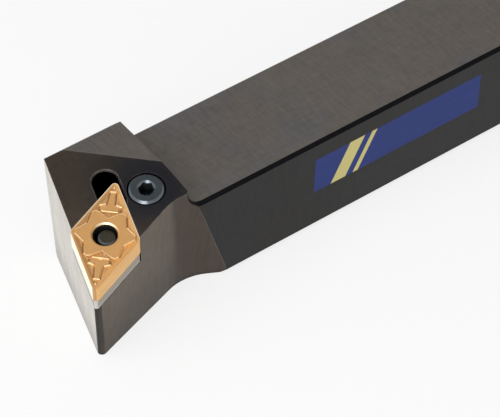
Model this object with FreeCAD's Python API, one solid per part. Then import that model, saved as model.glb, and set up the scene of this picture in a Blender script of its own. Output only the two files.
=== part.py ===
import FreeCAD, Part
import math
import os

# External turning tool holder with a lever that clamps its insert.
# The nose points to -X and -Y, the shank runs to +X, and the underside is at Z = 0.
# The origin is the middle of the outer box, on the underside.

# Shank and overall sizes, all in millimetres
OVERALL_LENGTH = 150.0
SHANK_WIDTH = 25.0
SHANK_HEIGHT = 25.0
NOSE_OFFSET = 32.0
LONG_EDGE_CHAMFER = 0.75
REAR_END_CHAMFER = 1.0

# Head
HEAD_RISE = 6.0
HEAD_LENGTH = 28.7
STEP_RADIUS = 4.0
SEAT_SLOPE_DEG = 7.4
FLANK_RECESS = 0.35
FLANK_LEAN_DEG = 1.5
SCALLOP_RADIUS = 12.0
SCALLOP_DEPTH = 0.4
SCALLOP_EXIT_DEG = 28.0
HEAD_NOSE_RADIUS = 1.0

# Insert
INSERT_CIRCLE = 12.7
INSERT_ANGLE_DEG = 55.0
INSERT_THICKNESS = 4.76
INSERT_NOSE_RADIUS = 0.8
INSERT_HOLE = 5.16
INSERT_HOLE_CHAMFER = 0.3
EDGE_LAND = 0.25
GROOVE_DEPTH = 0.25
GROOVE_SLOPE_WIDTH = 1.05
GROOVE_CORNER_RADIUS = 0.1
BOSS_RING_WIDTH = 1.8
BOSS_RING_BREAKS_DEG = (32.0, 68.0)
BOSS_RIB_WIDTH = 1.4
BOSS_RIB_GAP = 6.35
BOSS_CORNER_WIDTH = 2.0
BOSS_CORNER_GAP = 1.45

# Shim under the insert and the slit sleeve that holds it
SHIM_THICKNESS = 3.18
SHIM_INSET = 0.2
SHIM_HOLE_CHAMFER = 0.4
SLEEVE_DIAMETER = 6.3
SLEEVE_WALL = 0.7
SLEEVE_SLIT = 0.8
SLEEVE_DEPTH_IN_HOLDER = 4.0
SLEEVE_TOP_GAP = 0.3
SLEEVE_CHAMFER = 0.25

# Corner relief beside the insert
RELIEF_RADIUS = 2.7
RELIEF_UNDERCUT = 0.4
RELIEF_OVERRUN = 0.3
RELIEF_LENGTH = 5.0
RELIEF_EXTRA_DEPTH = 0.5
RELIEF_RIM_CHAMFER = 0.3

# Clamp screw
SCREW_DIAMETER = 7.9
SCREW_LEAD_STEP = 0.25
SCREW_LEAD_LENGTH = 1.2
SCREW_END_CHAMFER = 0.45
SCREW_STAND = 0.3
SCREW_WAIST_DIAMETER = 4.2
SCREW_FOOT_LENGTH = 2.0
SOCKET_FLATS = 3.0
SOCKET_DEPTH = 3.5
FOOT_SOCKET_DEPTH = 1.8
SOCKET_MOUTH_CHAMFER = 0.2
SCREW_HOLE_RIM_CHAMFER = 0.1
SCREW_HOLE_EXTRA_DEPTH = 1.2
KEY_HOLE_DIAMETER = 5.0

# Clamping lever
LEVER_PIVOT_DEPTH = 17.0
LEVER_TILT_DEG = 2.0
LEVER_BALL_DEPTH = 2.4
LEVER_BALL_FLAT = 1.2
LEVER_SHOULDER_DEPTH = 6.2
LEVER_SHOULDER_LENGTH = 1.0
LEVER_SHOULDER_STEP = 0.35
LEVER_HEEL_RADIUS = 1.85
LEVER_TOE_RADIUS = 1.4
LEVER_TOE_RISE = 0.7
LEVER_WEB_LENGTH = 5.0

# Clearances
SLEEVE_CLEARANCE = 0.02
SHIM_HOLE_CLEARANCE = 0.05
SCREW_CLEARANCE = 0.05
SCREW_INSERT_WALL = 1.09
BALL_WALL_GAP = 0.07
LEVER_SLEEVE_GAP = 0.65
LEVER_BORE_GAP = 0.28
LEVER_SIDE_CLEARANCE = 0.2
LEVER_FLOOR_CLEARANCE = 0.15
LEVER_ROOF_CLEARANCE = 1.0
LEVER_SLOT_WALL_GAP = 0.8
TOE_CLEARANCE = 0.12
TOE_WAIST_GAP = 0.6
WEB_SLEEVE_GAP = 1.06

# How far a cutting shape runs past the faces that it cuts
OVERCUT = 2.0

V = FreeCAD.Vector
UP = V(0, 0, 1)

HALF_ANGLE = math.radians(INSERT_ANGLE_DEG / 2)
INSERT_SIDE = INSERT_CIRCLE / math.sin(2 * HALF_ANGLE)
INSERT_CENTRE = INSERT_SIDE * math.cos(HALF_ANGLE)
SEAT_DEPTH = INSERT_THICKNESS + SHIM_THICKNESS
SLEEVE_LOW = -SEAT_DEPTH - SLEEVE_DEPTH_IN_HOLDER
HEAD_HEIGHT = SHANK_HEIGHT + HEAD_RISE

# The screw stands beside the insert, and the lever's toe reaches to the screw's waist
SCREW_FROM_EDGE = (SCREW_DIAMETER / 2 + SCREW_INSERT_WALL) / math.sin(2 * HALF_ANGLE)
SCREW_REACH = INSERT_SIDE / 2 + SCREW_FROM_EDGE
LEVER_TOE_REACH = SCREW_REACH - SCREW_WAIST_DIAMETER / 2 - TOE_WAIST_GAP - LEVER_TOE_RADIUS

# The lever's ball fits the insert's hole, its arm the sleeve, and its foot the bore
BALL_SWING = (LEVER_PIVOT_DEPTH - LEVER_BALL_DEPTH) * math.sin(math.radians(LEVER_TILT_DEG))
LEVER_BALL_RADIUS = INSERT_HOLE / 2 - BALL_WALL_GAP - BALL_SWING
LEVER_SHANK_RADIUS = SLEEVE_DIAMETER / 2 - SLEEVE_WALL - LEVER_SLEEVE_GAP
LEVER_NECK_RADIUS = LEVER_SHANK_RADIUS - LEVER_SHOULDER_STEP
LEVER_BORE_RADIUS = SLEEVE_DIAMETER / 2 - LEVER_BORE_GAP
LEVER_WIDTH = 2 * math.sqrt(LEVER_BORE_RADIUS ** 2 - LEVER_HEEL_RADIUS ** 2)

# The front corner is at 0, 0 on the seat, and the insert's long diagonal is its X axis
SIDE_EDGE = V(math.cos(HALF_ANGLE), -math.sin(HALF_ANGLE), 0)
SIDE_NORMAL = V(-math.sin(HALF_ANGLE), -math.cos(HALF_ANGLE), 0)
END_EDGE = V(math.cos(HALF_ANGLE), math.sin(HALF_ANGLE), 0)
END_NORMAL = V(-math.sin(HALF_ANGLE), math.cos(HALF_ANGLE), 0)
BACK_CORNER = V(2 * INSERT_CENTRE, 0, 0)

REAR_X = OVERALL_LENGTH / 2
FRONT_X = -OVERALL_LENGTH / 2
FAR_Y = NOSE_OFFSET / 2
NEAR_Y = FAR_Y - SHANK_WIDTH
STEP_X = FRONT_X + HEAD_LENGTH


def seat_axes():
    """Unit vectors along the insert, across it, and square to its top face."""
    slope = math.tan(math.radians(SEAT_SLOPE_DEG))
    along = V(1, 1, 2 * slope).normalize()
    across = V(-1, 1, 0).normalize()
    return along, across, along.cross(across)


def seat_frame():
    """Placement of the seat plane, whose origin is the insert's sharp cutting corner."""
    along, across, square = seat_axes()
    arc_centre = INSERT_NOSE_RADIUS / math.sin(HALF_ANGLE)
    arc_reach = INSERT_NOSE_RADIUS * math.sqrt(1 - square.x ** 2)
    nose_back = arc_centre * along.x - arc_reach
    corner = V(FRONT_X - nose_back, -NOSE_OFFSET / 2 - nose_back, SHANK_HEIGHT)
    return FreeCAD.Placement(FreeCAD.Matrix(
        along.x, across.x, square.x, corner.x,
        along.y, across.y, square.y, corner.y,
        along.z, across.z, square.z, corner.z,
        0, 0, 0, 1))


SEAT = seat_frame()

# The clamp works in a plane through the insert's hole and the screw, along the side edge
CLAMP = SEAT.multiply(FreeCAD.Placement(
    V(INSERT_CENTRE, 0, 0), FreeCAD.Rotation(UP, -INSERT_ANGLE_DEG / 2)))


def placed(shape, frame):
    """A copy of the shape, moved from the frame's own axes to the part's axes."""
    moved = shape.copy()
    moved.Placement = frame.multiply(moved.Placement)
    return moved


def rounded_outline(corners):
    """Closed wire through (point, radius) corners, with a tangent arc for each radius above 0."""
    spans = []
    count = len(corners)
    for index, (corner, radius) in enumerate(corners):
        if radius <= 0:
            spans.append((corner, None, corner))
            continue
        before = (corners[index - 1][0] - corner).normalize()
        after = (corners[(index + 1) % count][0] - corner).normalize()
        half = before.getAngle(after) / 2
        reach = radius / math.tan(half)
        bisector = (before + after).normalize()
        middle = corner + bisector * (radius / math.sin(half) - radius)
        spans.append((corner + before * reach, middle, corner + after * reach))
    edges = []
    for index, (start, middle, end) in enumerate(spans):
        if middle is not None:
            edges.append(Part.Arc(start, middle, end).toShape())
        following = spans[(index + 1) % count][0]
        edges.append(Part.LineSegment(end, following).toShape())
    return Part.Wire(edges)


def slot_outline(start, end, radius):
    """Closed wire of a slot with round ends about two points."""
    way = (end - start).normalize()
    side = V(-way.y, way.x, 0) * radius
    return Part.Wire([
        Part.Arc(start + side, start - way * radius, start - side).toShape(),
        Part.LineSegment(start - side, end - side).toShape(),
        Part.Arc(end - side, end + way * radius, end + side).toShape(),
        Part.LineSegment(end + side, start + side).toShape()])


def swept(outline, direction):
    """Solid swept from a flat closed outline along a direction."""
    return Part.Face(outline).extrude(direction)


def turned(profile):
    """Solid turned about Z from (radius, height) points that start and end on the axis."""
    points = [V(radius, 0, height) for radius, height in profile]
    face = Part.Face(Part.makePolygon(points + [points[0]]))
    return face.revolve(V(0, 0, 0), UP, 360)


def hexagon_prism(flats, depth, height):
    """Hexagonal solid that hangs down by a depth from a height."""
    corner = flats / math.sqrt(3)
    turns = [math.radians(60 * step) for step in range(7)]
    ring = [V(corner * math.cos(turn), corner * math.sin(turn), height) for turn in turns]
    return swept(Part.makePolygon(ring), V(0, 0, -depth))


# Insert

def insert_outline(inset, height):
    """The insert's rounded rhombus, drawn inwards by the inset, at a height over the seat plane."""
    tip = inset / math.sin(HALF_ANGLE)
    half_width = (INSERT_CENTRE - tip) * math.tan(HALF_ANGLE)
    radius = max(INSERT_NOSE_RADIUS - inset, GROOVE_CORNER_RADIUS)
    return rounded_outline([
        (V(tip, 0, height), radius),
        (V(INSERT_CENTRE, -half_width, height), radius),
        (V(2 * INSERT_CENTRE - tip, 0, height), radius),
        (V(INSERT_CENTRE, half_width, height), radius)])


def boss_outline(height):
    """The raised star round the insert's hole, with ribs to its four corners."""
    half_width = INSERT_CENTRE * math.tan(HALF_ANGLE)
    ring = INSERT_HOLE / 2 + BOSS_RING_WIDTH
    turns = [math.radians(angle) for angle in BOSS_RING_BREAKS_DEG]
    quarter = [(INSERT_CENTRE - BOSS_RIB_GAP, BOSS_RIB_WIDTH / 2), (ring, BOSS_RIB_WIDTH / 2)]
    quarter += [(ring * math.cos(turn), ring * math.sin(turn)) for turn in turns]
    quarter.append((BOSS_CORNER_WIDTH / 2, half_width - BOSS_CORNER_GAP))
    back = quarter[::-1]
    points = quarter + [(-x, y) for x, y in back]
    points += [(-x, -y) for x, y in quarter] + [(x, -y) for x, y in back]
    ring_points = [V(INSERT_CENTRE + x, y, height) for x, y in points]
    return Part.makePolygon(ring_points + [ring_points[0]])


def chip_groove():
    """The sunk groove inside the cutting edge of the insert's top face."""
    lift = GROOVE_DEPTH / 5
    slope = GROOVE_SLOPE_WIDTH / GROOVE_DEPTH
    groove = Part.makeLoft([
        insert_outline(EDGE_LAND - lift * slope, lift),
        insert_outline(EDGE_LAND + GROOVE_SLOPE_WIDTH, -GROOVE_DEPTH)], True, True)
    boss = swept(boss_outline(-GROOVE_DEPTH - OVERCUT), V(0, 0, GROOVE_DEPTH + 2 * OVERCUT))
    return groove.cut(boss)


def insert():
    """Rhombic insert with a hole and a chip groove on both faces."""
    body = swept(insert_outline(0, 0), V(0, 0, -INSERT_THICKNESS))
    radius = INSERT_HOLE / 2
    wide = radius + INSERT_HOLE_CHAMFER
    low = -INSERT_THICKNESS
    hole = turned([
        (0, OVERCUT),
        (wide, OVERCUT),
        (wide, 0),
        (radius, -INSERT_HOLE_CHAMFER),
        (radius, low + INSERT_HOLE_CHAMFER),
        (wide, low),
        (wide, low - OVERCUT),
        (0, low - OVERCUT)])
    hole.translate(V(INSERT_CENTRE, 0, 0))
    top_groove = chip_groove()
    bottom_groove = top_groove.copy()
    bottom_groove.rotate(V(0, 0, -INSERT_THICKNESS / 2), V(1, 0, 0), 180)
    return placed(body.cut([hole, top_groove, bottom_groove]), SEAT)


# Shim and its sleeve

def shim():
    """Rhombic plate under the insert."""
    body = swept(insert_outline(SHIM_INSET, -INSERT_THICKNESS), V(0, 0, -SHIM_THICKNESS))
    radius = SLEEVE_DIAMETER / 2 + SHIM_HOLE_CLEARANCE
    wide = radius + SHIM_HOLE_CHAMFER
    hole = turned([
        (0, 0),
        (wide, 0),
        (wide, -INSERT_THICKNESS),
        (radius, -INSERT_THICKNESS - SHIM_HOLE_CHAMFER),
        (radius, -SEAT_DEPTH - OVERCUT),
        (0, -SEAT_DEPTH - OVERCUT)])
    hole.translate(V(INSERT_CENTRE, 0, 0))
    return placed(body.cut(hole), SEAT)


def shim_sleeve():
    """Slit sleeve that pins the shim to the holder."""
    outer = SLEEVE_DIAMETER / 2
    inner = outer - SLEEVE_WALL
    high = -INSERT_THICKNESS - SLEEVE_TOP_GAP
    low = SLEEVE_LOW
    body = turned([
        (0, high),
        (outer - SLEEVE_CHAMFER, high),
        (outer, high - SLEEVE_CHAMFER),
        (outer, low + SLEEVE_CHAMFER),
        (outer - SLEEVE_CHAMFER, low),
        (0, low)])
    bore = Part.makeCylinder(inner, high - low + 2 * OVERCUT, V(0, 0, low - OVERCUT))
    slit = Part.makeBox(
        2 * outer, SLEEVE_SLIT, high - low + 2 * OVERCUT,
        V(-2 * outer, -SLEEVE_SLIT / 2, low - OVERCUT))
    return placed(body.cut([bore, slit]), CLAMP)


# Clamping lever

def toe_at_rest():
    """Middle of the lever's toe, in the clamp's plane, with the lever drawn back."""
    tilt = math.radians(LEVER_TILT_DEG)
    x = LEVER_TOE_REACH * math.cos(tilt) + LEVER_TOE_RISE * math.sin(tilt)
    z = LEVER_TOE_RISE * math.cos(tilt) - LEVER_TOE_REACH * math.sin(tilt)
    return V(x, 0, z - LEVER_PIVOT_DEPTH)


def lever_foot():
    """The lever's flat foot: a round heel, a round toe, and the web between them."""
    heel = V(0, 0, -LEVER_PIVOT_DEPTH)
    toe = V(LEVER_TOE_REACH, 0, LEVER_TOE_RISE - LEVER_PIVOT_DEPTH)
    span = toe - heel
    run = V(span).normalize()
    square = V(-run.z, 0, run.x)
    spread = math.asin((LEVER_HEEL_RADIUS - LEVER_TOE_RADIUS) / span.Length)
    above = run * math.sin(spread) + square * math.cos(spread)
    below = run * math.sin(spread) - square * math.cos(spread)
    side = V(0, -LEVER_WIDTH / 2, 0)
    across = V(0, LEVER_WIDTH, 0)
    belt = [
        heel + above * LEVER_HEEL_RADIUS, toe + above * LEVER_TOE_RADIUS,
        toe + below * LEVER_TOE_RADIUS, heel + below * LEVER_HEEL_RADIUS]
    web_top = V(0, 0, SLEEVE_LOW - WEB_SLEEVE_GAP)
    web = [
        heel, web_top, web_top + V(LEVER_SHANK_RADIUS, 0, 0),
        V(LEVER_WEB_LENGTH, 0, -LEVER_PIVOT_DEPTH)]
    plates = []
    for points in (belt, web):
        corners = [point + side for point in points]
        plates.append(swept(Part.makePolygon(corners + [corners[0]]), across))
    ends = [
        Part.makeCylinder(LEVER_HEEL_RADIUS, LEVER_WIDTH, heel + side, V(0, 1, 0)),
        Part.makeCylinder(LEVER_TOE_RADIUS, LEVER_WIDTH, toe + side, V(0, 1, 0))]
    return plates[0].fuse([plates[1]] + ends)


def lever_stem():
    """The lever's round upright arm, with a ball that has a flat top."""
    ball = LEVER_BALL_RADIUS
    neck = LEVER_NECK_RADIUS
    shank = LEVER_SHANK_RADIUS
    centre = -LEVER_BALL_DEPTH
    flat = math.sqrt(ball ** 2 - LEVER_BALL_FLAT ** 2)
    neck_top = centre - math.sqrt(ball ** 2 - neck ** 2)
    shoulder = -LEVER_SHOULDER_DEPTH
    line_points = [
        V(flat, 0, centre + LEVER_BALL_FLAT), V(0, 0, centre + LEVER_BALL_FLAT),
        V(0, 0, -LEVER_PIVOT_DEPTH), V(shank, 0, -LEVER_PIVOT_DEPTH),
        V(shank, 0, shoulder), V(neck, 0, shoulder + LEVER_SHOULDER_LENGTH),
        V(neck, 0, neck_top)]
    lines = Part.makePolygon(line_points)
    crown = Part.Arc(line_points[-1], V(ball, 0, centre), line_points[0]).toShape()
    face = Part.Face(Part.Wire(lines.Edges + [crown]))
    return face.revolve(V(0, 0, 0), UP, 360)


def clamp_lever():
    """L-shaped lever, drawn back so that its ball presses on the wall of the insert's hole."""
    lever = lever_foot().fuse(lever_stem()).removeSplitter()
    lever.rotate(V(0, 0, -LEVER_PIVOT_DEPTH), V(0, 1, 0), LEVER_TILT_DEG)
    return placed(lever, CLAMP)


# Clamp screw

def clamp_screw():
    """Headless screw with a waist that takes the lever's toe."""
    top = SCREW_STAND
    thread = SCREW_DIAMETER / 2
    lead = thread - SCREW_LEAD_STEP
    waist = SCREW_WAIST_DIAMETER / 2
    edge = SCREW_END_CHAMFER
    lead_end = top - SCREW_LEAD_LENGTH
    toe = toe_at_rest()
    collar = toe.z + LEVER_TOE_RADIUS + TOE_CLEARANCE
    foot = toe.z - LEVER_TOE_RADIUS - TOE_CLEARANCE
    bottom = foot - SCREW_FOOT_LENGTH
    body = turned([
        (0, top),
        (lead - edge, top),
        (lead, top - edge),
        (lead, lead_end),
        (thread, lead_end - (thread - lead)),
        (thread, collar + edge),
        (thread - edge, collar),
        (waist, collar),
        (waist, foot),
        (lead - edge, foot),
        (lead, foot - edge),
        (lead, bottom + edge),
        (lead - edge, bottom),
        (0, bottom)])
    mouth = SOCKET_FLATS / math.sqrt(3) + SOCKET_MOUTH_CHAMFER
    depth = mouth - SOCKET_FLATS / 2
    upper_mouth = Part.makeCone(mouth, mouth - depth, depth, V(0, 0, top), V(0, 0, -1))
    lower_mouth = Part.makeCone(mouth, mouth - depth, depth, V(0, 0, bottom))
    upper = hexagon_prism(SOCKET_FLATS, SOCKET_DEPTH + OVERCUT, top + OVERCUT)
    lower = hexagon_prism(SOCKET_FLATS, FOOT_SOCKET_DEPTH + OVERCUT, bottom + FOOT_SOCKET_DEPTH)
    screw = body.cut([upper, lower, upper_mouth, lower_mouth])
    screw.translate(V(SCREW_REACH, 0, 0))
    return placed(screw, CLAMP)


# Holder

def side_profile(front, y):
    """Side view of the holder from a front end to the rear end, drawn at one Y."""
    end = REAR_END_CHAMFER
    return rounded_outline([
        (V(front, y, 0), 0),
        (V(REAR_X - end, y, 0), 0),
        (V(REAR_X, y, end), 0),
        (V(REAR_X, y, SHANK_HEIGHT - end), 0),
        (V(REAR_X - end, y, SHANK_HEIGHT), 0),
        (V(STEP_X, y, SHANK_HEIGHT), STEP_RADIUS),
        (V(STEP_X, y, HEAD_HEIGHT), 0),
        (V(front, y, HEAD_HEIGHT), 0)])


def chamfered_bar(front):
    """The side profile swept across the shank, with the edges of both side faces chamfered."""
    bar = swept(side_profile(front, NEAR_Y), V(0, SHANK_WIDTH, 0))
    rim = [edge for edge in bar.Edges
           if len({round(vertex.Y, 6) for vertex in edge.Vertexes}) == 1]
    return bar.makeChamfer(LONG_EDGE_CHAMFER, rim)


def scallop():
    """On the seat plane: the scallop's corner, the way out of it, and its deepest point."""
    turn = math.radians(45 + SCALLOP_EXIT_DEG)
    way_out = V(math.cos(turn), -math.sin(turn), 0)
    bisector = (way_out - SIDE_EDGE).normalize()
    half = SIDE_EDGE.negative().getAngle(way_out) / 2
    nose = V(FLANK_RECESS / math.sin(HALF_ANGLE), 0, 0)
    to_centre = bisector * (SCALLOP_RADIUS / math.sin(half))
    to_deepest = to_centre + V(1, 1, 0).normalize() * SCALLOP_RADIUS
    climb = SEAT.Rotation.multVec(SIDE_EDGE).y
    flank_length = (NEAR_Y + SCALLOP_DEPTH - SEAT.multVec(nose + to_deepest).y) / climb
    corner = nose + SIDE_EDGE * flank_length
    return corner, way_out, corner + to_deepest


def flank_envelope(reach):
    """All that lies within the side flank, the scallop and its way out, below the seat plane."""
    corner, way_out = scallop()[:2]
    outline = rounded_outline([
        (corner - SIDE_EDGE * reach, 0),
        (corner, SCALLOP_RADIUS),
        (corner + way_out * reach, 0),
        (V(2 * reach, -reach, 0), 0),
        (V(2 * reach, reach, 0), 0)])
    lean = math.radians(FLANK_LEAN_DEG)
    down = V(0, 0, -math.cos(lean)) + SIDE_NORMAL * math.sin(lean)
    return placed(swept(outline, down * reach), SEAT)


def end_envelope(reach):
    """All that lies behind the end flank."""
    nose = V(FLANK_RECESS / math.sin(HALF_ANGLE), 0, OVERCUT)
    corners = [
        nose - END_EDGE * reach,
        nose + END_EDGE * reach,
        nose + (END_EDGE - END_NORMAL * 2) * reach,
        nose - (END_EDGE + END_NORMAL * 2) * reach]
    outline = Part.makePolygon(corners + [corners[0]])
    return placed(swept(outline, V(0, 0, -reach)), SEAT)


def holder_blank():
    """Shank and head, before the pocket and the holes."""
    reach = OVERALL_LENGTH + NOSE_OFFSET
    front = FRONT_X - OVERCUT
    middle = (NEAR_Y + FAR_Y) / 2
    deepest = SEAT.multVec(scallop()[2])
    nose_side = swept(side_profile(front, -NOSE_OFFSET), V(0, middle + NOSE_OFFSET, 0))
    nose_length = Part.makeBox(
        deepest.x - front, 2 * NOSE_OFFSET, 2 * HEAD_HEIGHT, V(front, -NOSE_OFFSET, 0))
    blank = chamfered_bar(front).fuse(nose_side.common(nose_length))
    blank = blank.common(flank_envelope(reach)).common(end_envelope(reach)).removeSplitter()
    return rounded_nose(blank)


def rounded_nose(blank):
    """The blank with the edge between its two flanks rounded."""
    nose = V(FLANK_RECESS / math.sin(HALF_ANGLE), 0, 0)
    seat_nose = SEAT.multVec(nose)
    edges = [edge for edge in blank.Edges
             if edge.Length > SHANK_HEIGHT / 2
             and min(vertex.Point.distanceToPoint(seat_nose) for vertex in edge.Vertexes) < 1e-3
             and abs(edge.tangentAt(edge.FirstParameter).z) > 0.9]
    return blank.makeFillet(HEAD_NOSE_RADIUS, edges)


def pocket_cut():
    """Space for the insert and the shim, open towards the nose."""
    reach = INSERT_SIDE + 4 * OVERCUT
    top = BACK_CORNER + V(0, 0, OVERCUT)
    corners = [
        top,
        top - SIDE_EDGE * reach,
        top - (SIDE_EDGE + END_EDGE) * reach,
        top - END_EDGE * reach]
    outline = Part.makePolygon(corners + [corners[0]])
    return placed(swept(outline, V(0, 0, -SEAT_DEPTH - OVERCUT)), SEAT)


def relief_cut():
    """Round-ended slot along the pocket's wall that frees the insert's back corner."""
    start = BACK_CORNER + END_NORMAL * (RELIEF_RADIUS - RELIEF_UNDERCUT)
    start = start + END_EDGE * RELIEF_OVERRUN
    end = start - END_EDGE * RELIEF_LENGTH
    depth = SEAT_DEPTH + RELIEF_EXTRA_DEPTH
    lift = V(0, 0, OVERCUT)
    drop = V(0, 0, -RELIEF_RIM_CHAMFER)
    slot = swept(slot_outline(start + lift, end + lift, RELIEF_RADIUS), V(0, 0, -depth - OVERCUT))
    rim = Part.makeLoft([
        slot_outline(start - drop, end - drop, RELIEF_RADIUS + 2 * RELIEF_RIM_CHAMFER),
        slot_outline(start + drop, end + drop, RELIEF_RADIUS)], True, True)
    return [placed(slot, SEAT), placed(rim, SEAT)]


def screw_hole_cut():
    """Tapped hole for the clamp screw, with a smaller hole for the key below it."""
    foot = toe_at_rest().z - LEVER_TOE_RADIUS - TOE_CLEARANCE - SCREW_FOOT_LENGTH
    floor = foot - SCREW_HOLE_EXTRA_DEPTH
    radius = SCREW_DIAMETER / 2 + SCREW_CLEARANCE
    wide = radius + SCREW_HOLE_RIM_CHAMFER + OVERCUT
    underside = -2 * HEAD_HEIGHT
    hole = turned([
        (0, OVERCUT),
        (wide, OVERCUT),
        (radius, -SCREW_HOLE_RIM_CHAMFER),
        (radius, floor),
        (KEY_HOLE_DIAMETER / 2, floor),
        (KEY_HOLE_DIAMETER / 2, underside),
        (0, underside)])
    hole.translate(V(SCREW_REACH, 0, 0))
    return placed(hole, CLAMP)


def lever_cut():
    """Bore for the sleeve and the lever, and the slot that leads from it to the screw."""
    floor = LEVER_PIVOT_DEPTH + LEVER_HEEL_RADIUS + LEVER_FLOOR_CLEARANCE
    lift = LEVER_TOE_REACH * math.sin(math.radians(LEVER_TILT_DEG))
    toe_top = LEVER_TOE_RISE + lift + LEVER_TOE_RADIUS
    roof = LEVER_PIVOT_DEPTH - toe_top - LEVER_ROOF_CLEARANCE
    width = LEVER_WIDTH + 2 * LEVER_SIDE_CLEARANCE
    bore = Part.makeCylinder(
        SLEEVE_DIAMETER / 2 + SLEEVE_CLEARANCE, floor - SEAT_DEPTH + OVERCUT, V(0, 0, -floor))
    mouth_length = INSERT_SIDE / 2 - LEVER_SLOT_WALL_GAP
    mouth = Part.makeBox(
        mouth_length, width, floor - SEAT_DEPTH + OVERCUT, V(0, -width / 2, -floor))
    tunnel = Part.makeBox(SCREW_REACH, width, floor - roof, V(0, -width / 2, -floor))
    return [placed(tool, CLAMP) for tool in (bore, mouth, tunnel)]


def holder_body():
    """Shank and head in one piece of steel."""
    cuts = [pocket_cut(), screw_hole_cut()] + relief_cut() + lever_cut()
    return holder_blank().cut(cuts).removeSplitter()


NODES = {
    "holder_body": holder_body,
    "insert": insert,
    "shim": shim,
    "shim_sleeve": shim_sleeve,
    "clamp_lever": clamp_lever,
    "clamp_screw": clamp_screw,
}

os.makedirs("parts", exist_ok=True)
for name, build in NODES.items():
    shape = build()
    solids = shape.Solids
    print(name, "solids", len(solids), "valid", shape.isValid(), "volume", round(shape.Volume, 2))
    solids[0].exportStep("parts/" + name + ".step")
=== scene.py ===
import math

import bmesh
import bpy
import numpy as np
from mathutils import Matrix, Vector


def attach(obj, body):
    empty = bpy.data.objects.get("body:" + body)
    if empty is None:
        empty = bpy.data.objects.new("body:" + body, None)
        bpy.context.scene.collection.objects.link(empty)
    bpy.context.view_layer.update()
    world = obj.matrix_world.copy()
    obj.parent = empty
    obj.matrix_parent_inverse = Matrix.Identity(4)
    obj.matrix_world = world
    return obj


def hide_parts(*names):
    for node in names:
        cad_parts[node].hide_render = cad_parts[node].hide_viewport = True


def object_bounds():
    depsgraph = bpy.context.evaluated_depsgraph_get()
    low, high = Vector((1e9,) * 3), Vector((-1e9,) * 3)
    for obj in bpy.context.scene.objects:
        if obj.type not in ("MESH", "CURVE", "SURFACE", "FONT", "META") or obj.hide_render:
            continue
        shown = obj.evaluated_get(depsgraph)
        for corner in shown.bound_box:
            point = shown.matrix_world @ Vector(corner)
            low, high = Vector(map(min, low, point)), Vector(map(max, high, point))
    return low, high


bl_info = {
    "name": "Turning tool holder",
    "version": (1, 0, 0),
    "blender": (4, 5, 0),
    "location": "View3D > Sidebar > Tool holder",
    "description": "Finishes a lever-clamp turning tool holder and models its insert",
    "category": "Object",
}

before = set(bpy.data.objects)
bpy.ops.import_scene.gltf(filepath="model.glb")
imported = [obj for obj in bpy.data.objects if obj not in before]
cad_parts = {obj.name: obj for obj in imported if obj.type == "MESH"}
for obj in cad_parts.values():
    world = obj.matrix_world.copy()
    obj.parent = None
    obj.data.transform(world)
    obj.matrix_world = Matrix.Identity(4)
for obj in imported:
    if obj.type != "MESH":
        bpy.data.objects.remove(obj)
CAD_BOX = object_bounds()

MM = 0.001

# Sizes that the holder's solids have too, in metres and as angles
CUTTING_HEIGHT = 0.025
NOSE_RADIUS = 0.0008
HALF_ANGLE = math.radians(55.0 / 2)
SEAT_SLOPE = math.tan(math.radians(7.4))
FLANK_LEAN = math.radians(1.5)

# The seat's own directions: along the insert's long diagonal, across it and square to it
ALONG = Vector((1, 1, 2 * SEAT_SLOPE)).normalized()
ACROSS = Vector((-1, 1, 0)).normalized()
SQUARE = ALONG.cross(ACROSS)
SEAT_WAYS = (ALONG, ACROSS, SQUARE)

# The insert's sharp front corner: its rounded nose just reaches the sides of the CAD box
NOSE_BACK = NOSE_RADIUS / math.sin(HALF_ANGLE) * ALONG.x
NOSE_BACK -= NOSE_RADIUS * math.sqrt(1 - SQUARE.x ** 2)
SEAT_CORNER = Vector((CAD_BOX[0][0] - NOSE_BACK, CAD_BOX[0][1] - NOSE_BACK, CUTTING_HEIGHT))

# The holder's faces, as unit normals that point outwards
END_FACE = ACROSS * math.cos(HALF_ANGLE) - ALONG * math.sin(HALF_ANGLE)
SIDE_OUT = -ACROSS * math.cos(HALF_ANGLE) - ALONG * math.sin(HALF_ANGLE)
FLANK_FACE = SIDE_OUT * math.cos(FLANK_LEAN) + SQUARE * math.sin(FLANK_LEAN)
TOP_FACE = Vector((0, 0, 1))
NEAR_FACE = Vector((0, -1, 0))
FAR_FACE = Vector((0, 1, 0))
REAR_FACE = Vector((1, 0, 0))
HOLDER_WAYS = (REAR_FACE, FAR_FACE, TOP_FACE)


# Shader maths

class Reading:
    """One value or colour in a node tree, on which plain arithmetic adds the Math nodes."""

    def __init__(self, sheet, socket):
        self.sheet = sheet
        self.socket = socket

    def work(self, operation, first, second=0.0):
        return self.sheet.node(
            "ShaderNodeMath", {"operation": operation}, {0: first, 1: second})

    def __add__(self, other):
        return self.work("ADD", self, other)

    def __radd__(self, other):
        return self.work("ADD", other, self)

    def __sub__(self, other):
        return self.work("SUBTRACT", self, other)

    def __rsub__(self, other):
        return self.work("SUBTRACT", other, self)

    def __mul__(self, other):
        return self.work("MULTIPLY", self, other)

    def __rmul__(self, other):
        return self.work("MULTIPLY", other, self)

    def __truediv__(self, other):
        return self.work("DIVIDE", self, other)

    def __abs__(self):
        return self.work("ABSOLUTE", self)

    def root(self):
        return self.work("SQRT", self)

    def at_least(self, limit):
        return self.work("MAXIMUM", self, limit)

    def ramp(self, low, high):
        """0 up to low, 1 from high on, and a smooth rise between them."""
        return self.sheet.node(
            "ShaderNodeMapRange", {"interpolation_type": "SMOOTHSTEP"},
            {0: self, 1: low, 2: high, 3: 0.0, 4: 1.0})


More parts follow.
